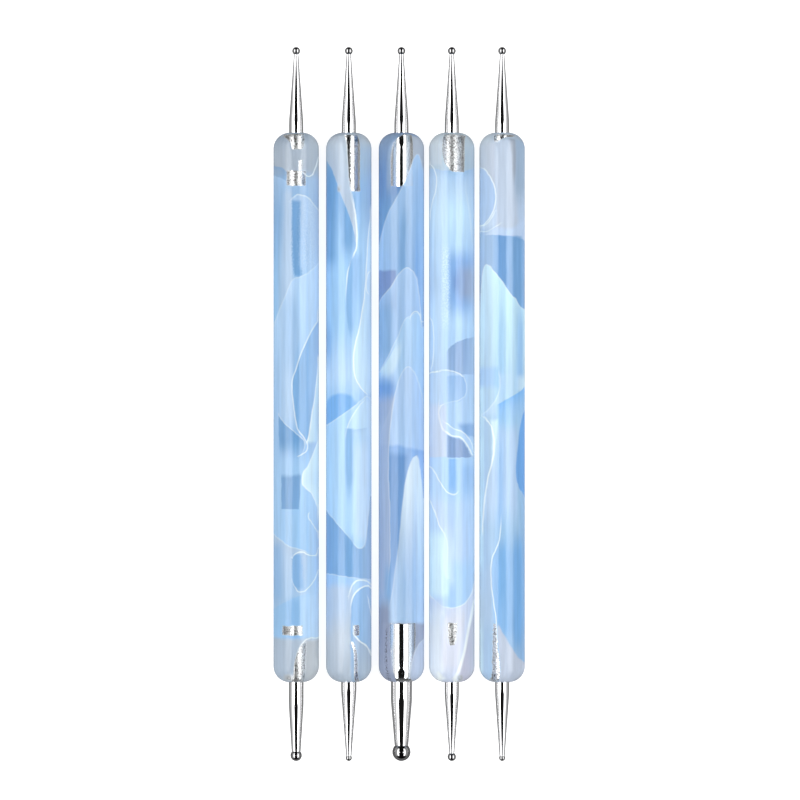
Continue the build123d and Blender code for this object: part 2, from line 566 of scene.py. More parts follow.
def marble_1():
    m = Marble(1, [
        (48, SMOKE), (42, SMOKE), (39.5, tone(158, 192, 230)), (33, tone(146, 186, 230)), (22, SKY),
        (14, SKY), (6, BLUE), (-5, BLUE), (-11, SKY), (-21, SKY), (-27, SKY), (-34, SKY), (-40, SKY),
        (-42, tone(172, 190, 210)), (-48, tone(172, 188, 208)),
    ])
    m.open([(-2.1, 48.3), (-1.5, 47.3), (-0.9, 46.2), (-0.6, 45.2)], [(1.6, 48.3), (1.5, 46.3),
           (1.0, 45.2)], 49, 45.2)
    m.open(0.5, 1.2, 43.3, 41.6, share=0.8)
    m.open(-1.55, 1.75, 41.4, 38.8, grain=0.2)
    m.leaf(-4.4, [(2.0, 47), (1.9, 44), (1.5, 42), (0.9, 41)], 46, 41, FOG, 0.35, soft=(0.3, 0.5),
           ends=(2, 0.8), hide=0)
    m.sheet([(-3.9, 42.3), (-2.5, 41.9), (-1.2, 41.1), (0.5, 40.8)], -1, DEEP, 0.6, fade=1.4,
            ends=(-4.5, -0.9), hide=0)
    m.sheet([(-3.9, 40.6), (-2.0, 39.8), (-1.2, 39.0)], -1, PALE, 0.5, fade=1.5, ends=(-4.5, -1.2), hide=0)
    m.line([(0.5, 41.4), (1.3, 41.0), (2.1, 40.5), (2.7, 40.6), (3.3, 41.7), (3.9, 43.9)], 0.8,
           ends=(0.9, 5))
    m.leaf([(-2.0, 39), (-2.5, 30), (-2.9, 20), (-2.7, 5), (-3.0, -2)], [(-0.65, 37), (-0.6, 28),
           (-0.3, 22), (0.6, 14), (-0.6, 4), (-0.45, 0.8), (0.15, -3)], 38, -3, MIST, 0.75,
           soft=(0.7, 0.3), ends=(1.0, 2.0))
    m.sheet([(-0.9, 36.0), (0, 37.0), (0.9, 37.2), (2.2, 36.6), (3.4, 35.3), (4, 34.6)], -1,
            tone(176, 206, 240), 0.8, fade=12, rim=0.5, ends=(-0.7, 5))
    m.leaf([(-0.6, 36.5), (-0.6, 30), (-0.45, 25), (0.1, 22.8)], [(1.1, 37), (0.9, 30), (1.2, 23)], 36.2,
           22.9, DEEP, 0.8, soft=(0.2, 0.3), ends=(0.4, 0.4), grain=0.45)
    m.speckle(0.5, 3.6, 36, 24.5, tone(200, 224, 250), 0.35, soft=0.7)
    m.sheet([(-3.9, 14.5), (-2.0, 19.0), (-0.4, 22.3), (0.8, 22.8), (2.3, 23.6), (3.9, 25.3)], -1, PALE,
            0.85, fade=14, rim=0.25, ends=(-5, 6))
    m.leaf(-2.0, 0.6, 19, 7, BLUE, 0.35, soft=(0.7, 0.7), ends=(3, 3))
    m.sheet([(3.8, 15.1), (1.9, 11.6), (0.15, 6.9), (-0.6, 4.0), (-0.45, 0.8), (0.15, -3), (1.3, -5),
            (1.9, -6.2)], 1, BLUE, 0.85, fade=9, rim=0.65, along=True, ends=(17, -6.2), end_soft=0.6)
    m.sheet([(3.9, 7.2), (3.35, 2.3), (2.7, -2.1), (2.3, -5.0), (1.9, -6.2)], 1, ICE, 0.9, fade=2.5,
            rim=0.8, along=True, ends=(9, -6.2), end_soft=0.5)
    m.leaf([(-3.0, -1), (-2.9, -6), (-2.7, -11)], [(-3.0, -1.4), (-1.2, -3.5), (0.9, -5.2), (1.6, -6.4),
           (1.2, -8), (0.4, -9.5)], -1, -7.5, DEEP, 0.8, soft=(0.15, 0.15), ends=(0.2, 2.0),
           rims=(0, 0.4))
    m.line([(1.9, -5.9), (2.1, -6.8), (1.9, -7.6), (1.3, -8.1), (0.5, -8.5)], 0.7, along=True,
           ends=(-6, -8.6), end_soft=0.3)
    m.sheet([(3.9, -5.9), (2.3, -10), (1.15, -12.6), (1.7, -14), (2.9, -15.2), (3.8, -17.5)], 1, ICE, 0.9,
            fade=4, rim=0.6, along=True, ends=(-5, -19), end_soft=1.5)
    m.leaf(-2.5, [(0.95, -11.5), (0.6, -18)], -11.9, -17.8, tone(128, 170, 218), 0.95, soft=(0.1, 0.1),
           ends=(0.5, 0.12))
    m.line([(2.35, -18.4), (2.2, -19.0), (2.7, -20.0), (3.9, -21.9)], 0.6, along=True, ends=(-18.4, -23),
           end_soft=0.3)
    m.sheet([(-3.9, -22.3), (-2.4, -23.4), (-1.3, -24.2), (0.9, -24.9), (2.5, -25.6)], -1, MIST, 0.9,
            fade=9, rim=0.3, ends=(-5, 2.2))
    m.leaf(-4.4, -2.4, -24, -34, BLUE, 0.5, soft=(0.2, 0.8), ends=(1, 2))
    m.leaf([(-0.45, -25), (-0.5, -30), (0.2, -31.8)], [(1.1, -25), (1.4, -31.8)], -25.6, -31.8, BLUE,
           0.85, soft=(0.2, 0.4), ends=(0.3, 0.5), grain=0.25)
    m.line([(-0.5, -26.2), (0.1, -25.5), (0.9, -25.3), (2.1, -25.7), (3.1, -26.0), (3.85, -24.7)], 0.8,
           ends=(-0.6, 5))
    m.line([(-0.6, -30.2), (0.05, -31.6), (0.9, -32.2), (2.4, -31.3), (4, -28.4)], 0.65, ends=(-0.4, 5))
    m.sheet([(-3.9, -35.3), (-0.5, -33.4), (2.1, -32.6), (4, -32.3)], -1, SKY, 0.9, soft=0.2)
    m.leaf(-1.7, 0.7, -33.5, -40.5, BLUE, 0.5, soft=(0.5, 0.3), ends=(1.0, 0.5))
    m.leaf(1.0, 4.6, -32.5, -40.5, PALE, 0.6, soft=(0.8, 0.2), ends=(1.0, 0.5))
    m.sheet([(-4, -40.2), (0, -40.5), (4, -40.3)], -1, tone(176, 193, 213), 0.95, soft=0.5)
    m.open(-2.3, 1.25, -38.2, -39.8, grain=0.25)
    m.open([(-0.3, -48), (-0.25, -45), (0.2, -43.2), (0.8, -41.7), (1.3, -41)], [(1.7, -48), (1.8, -41)],
           -41.2, -49)
    m.open(1.5, 4.4, -40.7, -49, share=0.45, soft=0.4)
    m.open(-2.0, 1.0, -46.6, -49, share=0.9, soft=0.3)
    m.line([(0.0, -44.2), (0.2, -43.2), (0.7, -42.0), (1.2, -41.2), (1.9, -40.6), (2.9, -40.3),
           (4.0, -40.4)], 0.7, ends=(0.0, 5), end_soft=0.3)
    m.painted_side_light([(-4, -0.12), (-1.5, -0.13), (0.3, -0.1), (1.6, -0.06), (2.5, 0.1), (4, 0.2)])
    return m.finish()


def marble_2():
    m = Marble(2, [
        (48, SMOKE), (44, tone(148, 180, 214)), (38, BLUE), (28, SKY), (15, SKY), (6, PALE), (0, SKY),
        (-5, SKY), (-20, SKY), (-26, SKY), (-31, SKY), (-34, tone(180, 206, 236)), (-39, FOG), (-44, FOG),
        (-48, tone(168, 184, 200)),
    ])
    edge = [(-0.4, 48), (-0.15, 43), (0.05, 40), (0.5, 37), (1.1, 33.5), (1.35, 30.5), (1.35, 28.5)]
    m.leaf(-4.4, -2.2, 43, 25, DEEP, 0.8, soft=(0.2, 0.8), ends=(2.5, 2.0))
    m.leaf(-1.2, 1.3, 37.5, 27, DEEP, 0.85, soft=(0.6, 0.2), ends=(1.0, 2.5))
    m.open(edge, 2.0, 48.6, 37.8, grain=0.12)
    m.open(-1.9, -1.3, 38.8, 37.8, share=0.8, soft=0.3)
    m.leaf([(-3.9, 43.5), (-2.7, 41.2), (-1.9, 38.9), (-1.0, 36.5), (0.0, 34), (0.9, 31), (1.2, 29)],
           edge, 48.5, 29, FOG, 0.75, ends=(0.5, 0.8), rims=(0.15, 0.4))
    m.line([(0.5, 38), (1.2, 33.5), (1.45, 30.5), (1.4, 28.5), (1.0, 26.8), (0.35, 25), (-0.2, 23),
           (-0.4, 20), (-0.4, 17)], 0.8, width=0.24, along=True, ends=(37, 20), end_soft=3)
    m.leaf([(1.0, 27), (-0.1, 23), (-0.4, 19), (-0.2, 15), (0.4, 12)], [(2.2, 27), (1.9, 22), (1.3, 16),
           (0.8, 12)], 26.5, 13, BLUE, 0.9, soft=(0.15, 0.7), ends=(1.0, 1.5))
    m.leaf(-4.4, -3.0, 14, 8, BLUE, 0.7, soft=(0.2, 0.4), ends=(2, 3))
    m.sheet([(3.8, 33), (3.3, 28), (3.1, 24), (2.9, 21), (2.4, 17), (1.8, 13.5), (1.2, 11), (0.9, 8),
            (1.1, 5.6), (1.9, 3.9), (3.2, 2.2)], 1, tone(196, 228, 253), 0.85, fade=5, rim=0.75,
            along=True, ends=(35, 2.2))
    m.line([(3.9, 24.0), (3.2, 22.6), (3.1, 21.2), (3.5, 19.8)], 0.6, along=True, ends=(24, 19.8),
           end_soft=0.3)
    m.sheet([(-3.9, 0.8), (-2.7, 2.1), (-1.2, 2.5), (0.4, 2.0), (1.3, 1.0), (4, 0.5)], -1,
            tone(122, 176, 236), 0.9, soft=0.4, ends=(-5, 1.7))
    m.sheet([(-3.9, -3.2), (-2.2, -2.0), (-0.5, -0.9), (0.8, 0.1), (2.1, 1.1), (3.2, 1.8), (4, 1.2)], -1,
            tone(172, 212, 250), 0.95, rim=0.35)
    m.sheet([(2.8, 1.4), (1.3, -0.5), (0.3, -2.2), (-0.3, -4.0), (-0.6, -5.6)], 1, tone(192, 224, 253),
            0.7, fade=6, along=True, ends=(1.4, -5), rim=0.5)
    m.leaf([(-0.3, -3.6), (-0.6, -8), (-0.4, -14)], [(0.9, -3.6), (1.0, -8), (0.6, -14)], -3.6, -15, BLUE,
           0.85, soft=(0.4, 0.5), ends=(0.2, 3))
    m.sheet([(-0.2, -4.2), (0.7, -3.9), (1.7, -3.8), (3.1, -3.6)], -1, BLUE, 0.5, fade=0.8,
            ends=(-0.2, 3.2), end_soft=0.4)
    m.leaf(1.1, 3.5, -6, -23, tone(188, 218, 252), 0.8, soft=(0.8, 0.2), ends=(2, 1))
    m.sheet([(-4, -18.0), (-2.5, -19.7), (-1.1, -21.3), (0.3, -22.9), (1.1, -24.1), (1.9, -24.7),
            (2.6, -24.3), (3.1, -22.5), (3.4, -19.5), (3.8, -15.5)], -1, tone(126, 170, 220), 1.0,
            rim=0.25, soft=0.1)
    m.leaf(-0.5, 0.9, -23, -30, DEEP, 0.8, soft=(0.3, 0.25), ends=(1.5, 0.3))
    m.sheet([(-3.9, -29.2), (0, -29.6), (4, -30.2)], -1, tone(160, 200, 244), 1.0, rim=0.25)
    m.sheet([(-3.4, -31.5), (-1.7, -31.0), (0, -31.4)], -1, tone(182, 204, 232), 0.85, soft=0.9,
            ends=(-5, 0.9), end_soft=0.5)
    m.sheet([(-4, -38), (0, -37)], -1, tone(188, 202, 218), 0.8, soft=3.0, ends=(-5, 0.9), end_soft=0.5)
    m.sheet([(0.3, -35.8), (0.6, -33.8), (1.3, -32.3), (2.3, -31.5), (3.1, -31.3), (4.0, -31.8)], -1,
            BLUE, 0.9, rim=0.85, width=0.25, ends=(0.4, 5), end_soft=0.3)
    m.line([(0.1, -33), (0.4, -31.7), (1.0, -30.7), (1.9, -30.2), (3.0, -30.4), (4.0, -31.2)], 0.75,
           width=0.25, ends=(0.1, 5), end_soft=0.5)
    m.line([(3.3, -33.2), (3.6, -34.6), (4.0, -37)], 0.6, along=True, ends=(-33.2, -38))
    m.sheet([(-4, -41.5), (0.9, -39.2), (1.2, -39.9), (1.7, -40.6), (2.8, -41.4), (3.6, -42.5),
            (4, -43.6)], -1, SMOKE, 0.6, soft=0.3, ends=(0.9, 5))
    m.sheet([(-4, -42), (0.8, -44), (4, -43)], -1, SMOKE, 0.45, soft=3)
    m.open(0.95, 1.85, -38.1, -39.9, grain=0.2)
    m.open([(0.4, -41), (0.9, -43), (1.05, -45), (0.7, -47.5)], [(0.8, -41), (1.4, -43), (1.6, -45),
           (1.4, -48.5)], -41, -49, soft=0.08)
    m.open(-1.5, 1.5, -46.9, -49)
    m.line([(0.75, -38.3), (0.9, -39.4), (1.2, -40.0), (1.7, -40.7), (2.8, -41.5), (3.6, -42.6),
           (4, -43.7)], 0.75, width=0.22, ends=(0.75, 5), end_soft=0.2)
    m.painted_side_light([(-4, 0.16), (-2.5, -0.02), (-1, 0.03), (0.5, 0.05), (1.6, 0.04), (2.5, 0.13), (4, 0.24)])
    return m.finish()


def marble_3():
    m = Marble(3, [
        (48, tone(138, 162, 196)), (40, tone(120, 155, 206)), (34, tone(122, 165, 216)),
        (25, tone(112, 158, 218)), (20, tone(130, 170, 225)), (12, tone(136, 180, 235)),
        (6, tone(150, 192, 244)), (0, tone(130, 178, 238)), (-7, tone(150, 192, 244)),
        (-9, tone(136, 178, 236)), (-22, tone(130, 170, 226)), (-31, tone(136, 178, 230)),
        (-37, tone(150, 188, 234)), (-48, tone(158, 166, 190)),
    ])
    m.leaf(1.9, 4.5, 48.5, 42, tone(178, 190, 206), 0.8, soft=(0.3, 0.2), ends=(0.5, 1.5))
    m.open([(0.4, 48.6), (-0.7, 47.5), (-1.5, 46.0), (-1.9, 44.0), (-1.9, 40)], 2.0, 48.8, 38.7, soft=0.08)
    m.leaf([(0.2, 48.6), (-1.0, 47.4), (-1.9, 46.0), (-2.4, 44.0), (-2.6, 40)], [(0.5, 48.6),
           (-0.6, 47.4), (-1.4, 46.0), (-1.7, 44.0), (-1.8, 40)], 48, 38, tone(160, 185, 215), 0.7,
           soft=(0.3, 0.1), ends=(0.5, 2))
    m.sheet([(-3.9, 28), (-3.3, 31), (-2.2, 34.2), (-1.0, 36.4), (0.2, 38.7), (1.0, 40.4), (1.6, 42),
            (2.2, 43.6), (2.8, 44.3), (3.3, 43.6), (3.7, 42), (4.1, 39)], -1, tone(166, 202, 243), 0.95,
            fade=11, rim=0.2)
    m.leaf(-0.3, 1.1, 34, 20, DEEP, 0.45, soft=(0.3, 0.4), ends=(3, 3))
    m.leaf(-4.4, -0.9, 24, 17, tone(122, 146, 200), 0.85, soft=(0.2, 0.3), ends=(0.3, 1.0))
    m.sheet([(-3.9, 18.3), (-3.4, 19.2), (-1.9, 21.1), (-0.4, 23.3), (0.4, 24.1), (1.1, 24.4),
            (1.7, 24.1), (2.5, 22.9), (3.0, 20.0), (3.4, 16.2), (3.7, 13.7)], -1, tone(172, 206, 246),
            0.95, fade=8, rim=0.3)
    m.leaf(-4.4, -1.5, 19, 8, DEEP, 0.5, soft=(0.2, 0.7), ends=(3, 3))
    m.sheet([(-3.7, 6.3), (-2.5, 8.6), (-1.4, 10.8), (-0.5, 12.6), (0.1, 14.4), (0.7, 15.5), (1.6, 16.0),
            (2.8, 16.5), (3.2, 16.0), (3.5, 14)], -1, tone(174, 212, 250), 0.95, fade=10, rim=0.2)
    m.line([(1.5, 15.5), (1.9, 16.4), (2.6, 16.8), (3.1, 16.3), (3.5, 15)], 0.6, ends=(1.5, 4))
    m.leaf([(-3.6, 6.5), (-2.2, 8.6), (-1.0, 10.8)], [(-1.8, 5.5), (-0.6, 8), (0.2, 11.5)], 11, 5.5, ICE,
           0.55, soft=(0.1, 0.5), ends=(1.5, 1.5))
    m.leaf(-4.4, -1.0, 5, -2.5, tone(110, 156, 222), 0.85, soft=(0.2, 0.7), ends=(1.5, 1.5))
    m.sheet([(-4, -5.8), (-3.0, -3.0), (-1.8, 0.2), (-0.9, 3.2), (0.0, 5.8), (0.6, 6.8), (1.2, 7.1),
            (2.0, 6.5), (2.8, 4.9), (3.5, 2.4), (3.9, 0)], -1, tone(176, 208, 248), 0.95, fade=9,
            rim=0.25)
    m.sheet([(-2.2, -6.6), (0, -6.8), (2, -7.2), (4, -7.6)], -1, tone(122, 168, 232), 0.7, soft=0.4, fade=3)
    m.leaf(-2.2, [(1.2, -9), (0.5, -16), (0.2, -21), (-0.5, -26), (-1.2, -31)], -8, -31,
           tone(110, 154, 212), 0.8, soft=(0.3, 0.8), ends=(1.0, 4))
    m.sheet([(-1.2, 1.7), (-1.8, -2.1), (-2.2, -6.8), (-2.3, -10.8), (-2.1, -16.2), (-2.0, -22.1),
            (-2.0, -26.4), (-2.4, -30.2), (-2.6, -32.6)], -1, tone(164, 184, 218), 0.85, soft=0.15,
            rim=0.3, along=True, ends=(1.7, -33), end_soft=1.5)
    m.leaf(-2.9, -1.9, -28, -34, BLUE, 0.7, soft=(0.4, 0.4), ends=(2, 1.5))
    m.sheet([(-2.1, -35), (-1.6, -32.3), (-1.0, -28), (-0.5, -24), (0.0, -19.5), (0.4, -15), (0.9, -12),
            (1.6, -9.8), (2.3, -8.6), (2.8, -8.7), (3.2, -10.5), (3.5, -13), (3.9, -16)], -1,
            tone(214, 236, 254), 0.95, fade=14, rim=0.2, ends=(-2.1, 5), end_soft=0.3, thins=(-13, -32))
    m.leaf(-4.4, -2.1, -34, -49, tone(150, 160, 186), 0.9, soft=(0.2, 0.5), ends=(2, 0.5))
    m.sheet([(-3, -37.8), (0, -37.7), (4, -38.0)], -1, tone(156, 168, 196), 0.9, soft=0.4)
    m.open([(-1.95, -37), (-2.0, -41), (-1.7, -44), (-1.2, -48)], [(2.4, -37), (2.4, -41.5), (1.8, -44),
           (1.1, -48)], -37.8, -49, soft=0.06)
    m.speckle([(-2.3, -38), (-2.9, -42), (-2.7, -47)], [(-2.0, -38), (-2.5, -42), (-2.1, -47)], -38.5,
              -48, tone(96, 98, 108), 0.8, soft=0.15)
    m.sheet([(4, -40.6), (2.6, -42.2), (1.9, -44.5), (1.2, -47.8)], 1, tone(186, 204, 232), 0.9,
            along=True, ends=(-40, -49), rim=0.25)
    m.painted_side_light([(-4, 0.0), (-2.6, -0.1), (-1, -0.15), (0.3, -0.17), (1.5, -0.13), (2.6, -0.02), (4, 0.02)])
    return m.finish()


def marble_4():
    m = Marble(4, [
        (48, tone(172, 190, 206)), (42, tone(164, 188, 210)), (40, tone(180, 208, 236)),
        (34, tone(190, 224, 252)), (28, tone(178, 214, 248)), (22, tone(168, 204, 242)),
        (16, tone(180, 216, 252)), (12, tone(174, 210, 248)), (6, tone(172, 204, 240)),
        (0, tone(172, 206, 242)), (-9, tone(168, 206, 248)), (-14, tone(188, 220, 252)),
        (-23, tone(226, 244, 254)), (-31, tone(228, 243, 253)), (-36, tone(216, 230, 247)),
        (-44, tone(206, 214, 232)), (-48, tone(190, 204, 226)),
    ])
    m.open([(-1.7, 48), (-1.7, 45), (-1.4, 43.3), (-0.8, 42.0), (0.2, 41.2)], 2.15, 48.8, 41.2, grain=0.1)
    m.leaf(-4.4, -1.8, 48.5, 42.4, FOG, 0.7, soft=(0.2, 0.2), ends=(1.5, 0.5), hide=0)
    m.sheet([(-3, 41.8), (0, 41.3), (2.0, 41.4), (4, 42.4)], -1, tone(140, 184, 232), 0.6, fade=1.8, hide=0)
    m.line([(-3.85, 42.6), (-3.05, 41.4), (-2.7, 39.8), (-2.85, 38.0), (-3.3, 36.4), (-3.8, 34.0)], 0.65,
           along=True, ends=(43, 33))
    m.leaf([(-2.3, 41), (-1.8, 30)], [(-1.0, 41), (-0.6, 30)], 40, 16, PALE, 0.55, soft=(0.5, 0.5),
           ends=(3, 4))
    m.line([(2.4, 38), (3.2, 33), (3.8, 27)], 0.2, width=0.3, along=True, ends=(38, 27), end_soft=3)
    m.leaf(-0.55, 4.5, 27, 16.5, tone(124, 166, 224), 0.8, soft=(0.5, 0.3), ends=(2.0, 2.5))
    m.leaf(1.6, 4.5, 24.5, 18.8, tone(146, 160, 192), 0.85, soft=(1.2, 0.3), ends=(1.6, 1.6))
    m.leaf(0.0, 1.3, 23.5, 20, tone(118, 146, 200), 0.6, soft=(0.5, 0.5), ends=(1.5, 1.5))
    m.speckle(-1.8, -0.55, 28, 14, tone(206, 232, 254), 0.75)
    m.line([(-3.85, 15.6), (-3.2, 11.9), (-3.25, 9.0), (-3.6, 6.9)], 0.6, along=True, ends=(16, 6.5))
    m.sheet([(-1.0, 9.6), (0.35, 11.1), (2.0, 11.9), (4, 12.3)], -1, tone(132, 162, 208), 0.95,
            ends=(-0.8, 5), end_soft=0.4, grain=0.15)
    m.sheet([(-3.9, 6.0), (-2.4, 6.3), (-0.6, 6.3), (1.3, 5.9), (4, 5.7)], -1, tone(174, 206, 242), 1.0,
            soft=0.1)
    m.leaf(-0.8, [(1.2, 6), (2.4, 4.6), (2.5, 3.0), (2.0, 1.6), (1.0, 0.9)], 5.6, 0.9,
           tone(136, 176, 228), 0.95, soft=(0.35, 0.1), grain=0.2)
    m.line([(-3.85, 6.0), (-2.45, 6.3), (-0.6, 6.5), (0.9, 6.1), (1.8, 5.5)], 0.85, width=0.22,
           ends=(-5, 2), end_soft=0.3)
    m.line([(1.6, 5.6), (2.3, 4.8), (2.6, 3.4), (2.4, 2.3), (1.9, 1.6)], 0.6, along=True, ends=(5.6, 1.6),
           end_soft=0.3)
    m.line([(-2.1, -0.2), (-1.5, 0.5), (-0.4, 0.9), (0.8, 1.1), (2.0, 1.7)], 0.55, ends=(-2.1, 2.0),
           end_soft=0.3)
    m.sheet([(-2.3, -0.5), (-2.2, -2.4), (-1.5, -4.1), (0, -5.0), (1.5, -5.4), (2.6, -6.6), (3.5, -8.4),
            (4, -9)], 1, tone(186, 216, 250), 0.8, ends=(-2.4, 5), end_soft=0.2, fade=2)
    m.sheet([(-1.9, -1.6), (-0.3, -3.2), (1.9, -4.3), (3.0, -5.4), (4, -8.2)], 1, tone(172, 206, 243),
            1.0, fade=5, ends=(-2.0, 5), end_soft=0.2)
    m.leaf([(1.0, -2.9), (2.0, -4.4), (3.4, -5.2)], 4.5, -2.8, -5.2, tone(126, 166, 220), 0.8,
           soft=(0.4, 0.3), ends=(0.6, 0.4))
    m.line([(-2.3, -0.3), (-2.1, -2.2), (-1.5, -3.9), (-0.2, -4.8), (1.5, -5.3), (2.6, -6.5),
           (3.6, -8.4)], 0.85, width=0.24, ends=(-2.4, 3.7), end_soft=0.15)
    m.line([(-1.5, 0.5), (-2.15, -0.2), (-2.35, -1.2), (-2.15, -2.4), (-1.5, -3.9)], 0.8, width=0.24,
           along=True, ends=(0.5, -4), end_soft=0.2)
    m.line([(-1.7, -2.2), (-0.3, -3.3), (1.9, -4.4), (3.0, -5.5), (3.9, -7.9)], 0.6, ends=(-1.6, 5),
           end_soft=0.4)
    m.sheet([(-1.2, -4.6), (0, -5.2), (1.4, -5.6), (2.4, -6.7), (3.4, -8.6)], -1, tone(134, 162, 206),
            0.95, ends=(-0.9, 3.4), end_soft=0.25, grain=0.2)
    m.leaf(-4.4, -1.0, 0.5, -8.7, LILAC, 0.6, soft=(0.2, 0.3), ends=(0.8, 0.2))
    m.sheet([(-4, -8.75), (4, -8.75)], -1, tone(172, 210, 250), 0.95, soft=0.1)
    m.leaf(-0.6, 0.8, -9, -14.8, tone(138, 186, 244), 0.8, soft=(0.3, 0.4), ends=(0.2, 1.5))
    m.leaf(1.8, 4.5, -10, -15, tone(142, 184, 236), 0.6, soft=(0.7, 0.2), ends=(1.0, 2.5))
    m.sheet([(-3.9, -10.4), (-3.05, -11.3), (-2.3, -12.6), (-1.5, -14.1), (-0.75, -14.9), (0.35, -15.2),
            (1.2, -14.6)], -1, tone(172, 208, 250), 0.7, rim=0.75, ends=(-5, 0.9), end_soft=0.5)
    m.sheet([(-3.9, -16.2), (-3.05, -18.1), (-2.2, -20.6), (-1.3, -22.3), (-0.8, -24.5)], 1,
            tone(196, 214, 248), 0.6, rim=0.75, along=True, ends=(-16, -27), end_soft=1.5, fade=4)
    m.leaf(-4.4, [(-1.0, -22), (-0.5, -30)], -22, -33, tone(204, 238, 254), 0.75, soft=(0.2, 0.4),
           ends=(1.5, 1.0))
    m.leaf([(-0.8, -18), (-1.6, -25), (-0.6, -30)], [(0.5, -18), (0.3, -25), (0.5, -30)], -22, -31, ICE,
           0.6, soft=(0.3, 0.5), ends=(3, 1.5))
    m.sheet([(-3.9, -32.8), (-2.45, -34.2), (-0.9, -34.9), (1.3, -34.8), (2.8, -33.6), (3.9, -30.6)], -1,
            tone(206, 218, 242), 0.85, rim=0.5)
    m.leaf(-4.4, [(-2.3, -33), (-0.5, -36), (0.2, -38)], -33.5, -38, tone(178, 204, 244), 0.7,
           soft=(0.2, 0.6), ends=(0.5, 1.5))
    m.leaf([(-1.4, -36), (-1.9, -44)], [(2.6, -34), (1.9, -40), (1.2, -44)], -36, -46,
           tone(212, 220, 238), 0.85, soft=(0.6, 0.5), ends=(1.5, 1.5))
    m.sheet([(3.9, -35), (3.0, -38.5), (2.4, -41.6), (1.8, -44.4), (1.2, -46.5)], 1, tone(186, 190, 212),
            0.85, along=True, ends=(-34, -49), soft=0.3)
    m.leaf(-4.4, [(-1.5, -36), (-2.0, -41), (-1.6, -45)], -35.0, -46.5, tone(222, 236, 250), 0.6,
           soft=(0.2, 0.4), ends=(2.0, 1.0))
    m.open([(-0.75, -37.4), (-0.6, -40), (-0.2, -42)], [(0.95, -37.4), (0.75, -40), (0.3, -42)], -37.7,
           -41.5, soft=0.1)
    m.open([(0.6, -46), (1.2, -47.2)], 1.9, -46.6, -48.6, share=0.8, soft=0.25)
    m.line([(-2.4, -46.4), (-1.0, -47.1), (0.4, -46.9), (1.2, -45.8), (1.7, -44.4), (2.3, -41.8),
           (3.0, -38.3), (3.9, -34)], 0.9, width=0.42, ends=(-2.6, 5), end_soft=0.6)
    m.painted_side_light([(-4, 0.25), (-2.2, 0.16), (-0.8, 0.0), (0.3, 0.0), (2.2, 0.0), (3.0, 0.06), (4, 0.25)])
    return m.finish()


